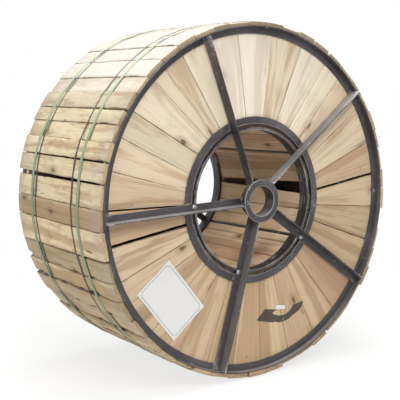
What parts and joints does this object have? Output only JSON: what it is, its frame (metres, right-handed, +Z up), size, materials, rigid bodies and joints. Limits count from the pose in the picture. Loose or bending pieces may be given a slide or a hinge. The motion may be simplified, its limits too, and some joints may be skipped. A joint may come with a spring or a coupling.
{
  "type": "wooden cable drum",
  "caption": "Closed wooden cable drum: steel-framed flanges with radial boards, stave barrel, lagging staves round the outside and tension straps, for carrying wound cable on a spindle.",
  "frame": {"origin": "on the drum's axis, midway between the two hubs", "axes": "+Y along the spindle bore from the front flange to the back one, +Z up with the drum standing on its lagging, +X right seen from the front"},
  "size_m": [1.1749, 0.64, 1.1762],
  "materials": {
    "frame_steel": "dark grey paint on rolled steel, worn at the edges",
    "flange_wood": "sawn softwood boards, unpainted",
    "barrel_wood": "sawn softwood staves, darker inside the barrel",
    "lagging_wood": "sawn softwood staves, weathered",
    "strap_plastic": "embossed green polyester strapping",
    "band_steel": "blued steel banding",
    "seal_steel": "bare pressed steel",
    "bolt_steel": "zinc plated",
    "label_paper": "white printed sheet, left blank"
  },
  "bodies": {
    "root": {"front_rim": "frame_steel", "back_rim": "frame_steel", "front_ring": "frame_steel", "back_ring": "frame_steel", "front_hoop": "frame_steel", "back_hoop": "frame_steel", "front_hub": "frame_steel", "back_hub": "frame_steel", "front_spoke_1": "frame_steel", "front_spoke_2": "frame_steel", "front_spoke_3": "frame_steel", "front_spoke_4": "frame_steel", "front_spoke_5": "frame_steel", "back_spoke_1": "frame_steel", "back_spoke_2": "frame_steel", "back_spoke_3": "frame_steel", "back_spoke_4": "frame_steel", "back_spoke_5": "frame_steel", "tie_rods": "bolt_steel", "front_paper": "label_paper", "front_boards_1": "flange_wood", "front_boards_2": "flange_wood", "front_boards_3": "flange_wood", "front_boards_4": "flange_wood", "front_boards_5": "flange_wood", "back_boards_1": "flange_wood", "back_boards_2": "flange_wood", "back_boards_3": "flange_wood", "back_boards_4": "flange_wood", "back_boards_5": "flange_wood", "barrel_staves_1": "barrel_wood", "barrel_staves_2": "barrel_wood", "barrel_staves_3": "barrel_wood", "barrel_staves_4": "barrel_wood", "lagging_1": "lagging_wood", "lagging_2": "lagging_wood", "lagging_3": "lagging_wood", "lagging_4": "lagging_wood", "lagging_5": "lagging_wood", "lagging_6": "lagging_wood", "lagging_7": "lagging_wood", "lagging_8": "lagging_wood", "front_strap": "strap_plastic", "back_strap": "strap_plastic", "front_band": "band_steel", "back_band": "band_steel", "strap_seals": "seal_steel", "band_seals": "seal_steel"}
  },
  "joints": []
}
